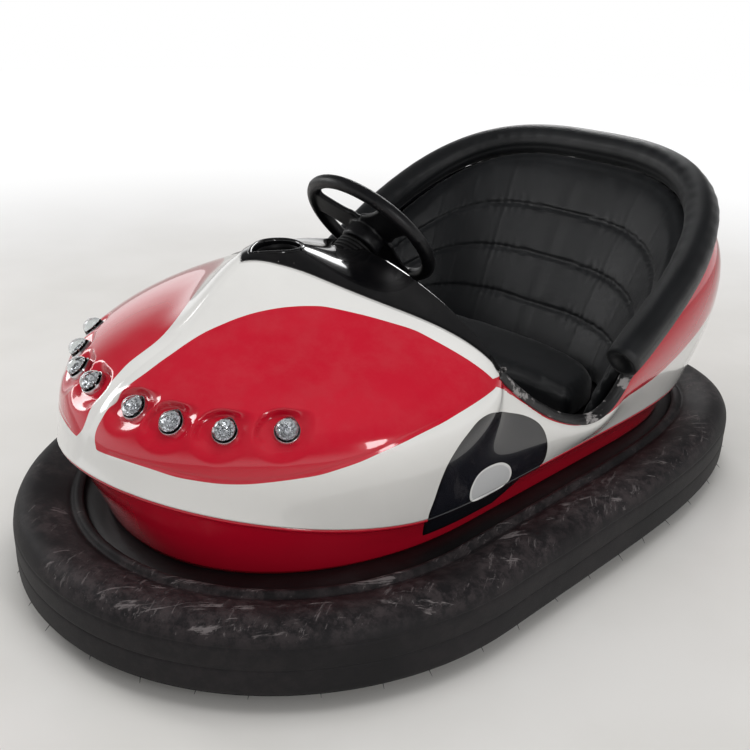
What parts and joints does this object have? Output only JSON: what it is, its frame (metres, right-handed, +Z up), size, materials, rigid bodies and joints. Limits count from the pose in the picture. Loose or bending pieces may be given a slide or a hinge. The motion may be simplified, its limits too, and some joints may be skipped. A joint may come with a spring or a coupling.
{
  "type": "bumper car",
  "caption": "Fairground bumper car with a rubber bumper tyre right round, a red and white moulded shell, lamps in scoops, an open cockpit with a padded black seat, and a steered drive wheel",
  "frame": {"origin": "on the floor, under the middle of the bumper tyre's length and width", "axes": "+X to the car's left flank, +Y to the tail (the nose points to -Y), +Z up"},
  "size_m": [1.244, 1.95, 0.8422],
  "materials": {
    "bumper_rubber": "dull grey-black rubber, scuffed and dusty on its shoulder",
    "wheel_rubber": "solid black rubber",
    "boot_rubber": "moulded black rubber",
    "frame_steel": "black enamel on welded steel",
    "bare_steel": "turned steel",
    "cast_metal": "grey casting",
    "motor_aluminium": "plain aluminium casting",
    "shell_red": "high-gloss red and white gel coat over glass fibre",
    "cowl_black": "gloss black gel coat",
    "deck_black": "satin black",
    "cover_plastic": "dark plastic cover",
    "lamp_reflector": "bright faceted reflector",
    "lamp_clear": "clear moulded dome",
    "seat_leather": "black padded leathercloth with a soft sheen",
    "grip_plastic": "black moulded plastic with a soft skin"
  },
  "bodies": {
    "car": {"bumper_tyre": "bumper_rubber", "bumper_hoop": "frame_steel", "deck_ring": "deck_black", "frame_rails": "frame_steel", "frame_crossbars": "frame_steel", "wheel_brackets": "frame_steel", "floor_plate": "frame_steel", "lower_skirt": "shell_red", "hood_shell": "shell_red", "tail_shell": "shell_red", "dash_cowl": "cowl_black", "cowl_bezel": "cowl_black", "cowl_well": "deck_black", "sill_trim": "deck_black", "lamp_cups_left": "lamp_reflector", "lamp_cups_right": "lamp_reflector", "lamp_lenses_left": "lamp_clear", "lamp_lenses_right": "lamp_clear", "rim_roll": "seat_leather", "seat_back_pad": "seat_leather", "seat_cushion": "seat_leather", "seat_base": "deck_black", "battery_block": "cover_plastic", "swivel_mount": "cast_metal", "column_tube": "frame_steel", "column_bracket": "frame_steel", "column_boot": "boot_rubber", "foot_pedal": "cast_metal", "rear_axle_pins": "bare_steel"},
    "drive_swivel": {"swivel_fork": "cast_metal", "drive_motor": "motor_aluminium"},
    "drive_wheel": {"drive_hub": "motor_aluminium", "drive_tyre": "wheel_rubber"},
    "rear_wheel_left": {"rear_hub_left": "motor_aluminium", "rear_tyre_left": "wheel_rubber"},
    "rear_wheel_right": {"rear_hub_right": "motor_aluminium", "rear_tyre_right": "wheel_rubber"},
    "steering_wheel": {"steering_rim": "grip_plastic", "steering_spokes": "grip_plastic", "steering_shaft": "bare_steel"}
  },
  "joints": [
    {"name": "drive_swivel_turn", "type": "hinge", "parent": "car", "child": "drive_swivel", "pos_m": [0, -0.48, 0.285], "axis": [0, 0, 1], "continuous": true},
    {"name": "drive_wheel_spin", "type": "hinge", "parent": "drive_swivel", "child": "drive_wheel", "pos_m": [0, -0.48, 0.1], "axis": [1, 0, 0], "continuous": true},
    {"name": "rear_wheel_left_spin", "type": "hinge", "parent": "car", "child": "rear_wheel_left", "pos_m": [0.29, 0.56, 0.08], "axis": [1, 0, 0], "continuous": true},
    {"name": "rear_wheel_right_spin", "type": "hinge", "parent": "car", "child": "rear_wheel_right", "pos_m": [-0.29, 0.56, 0.08], "axis": [1, 0, 0], "continuous": true},
    {"name": "steering_turn", "type": "hinge", "parent": "car", "child": "steering_wheel", "pos_m": [0, -0.117, 0.708], "axis": [0, 0.766, 0.6428], "continuous": true}
  ],
  "couplings": [
    {"joint": "steering_turn", "follows": "drive_swivel_turn", "ratio": 1}
  ]
}
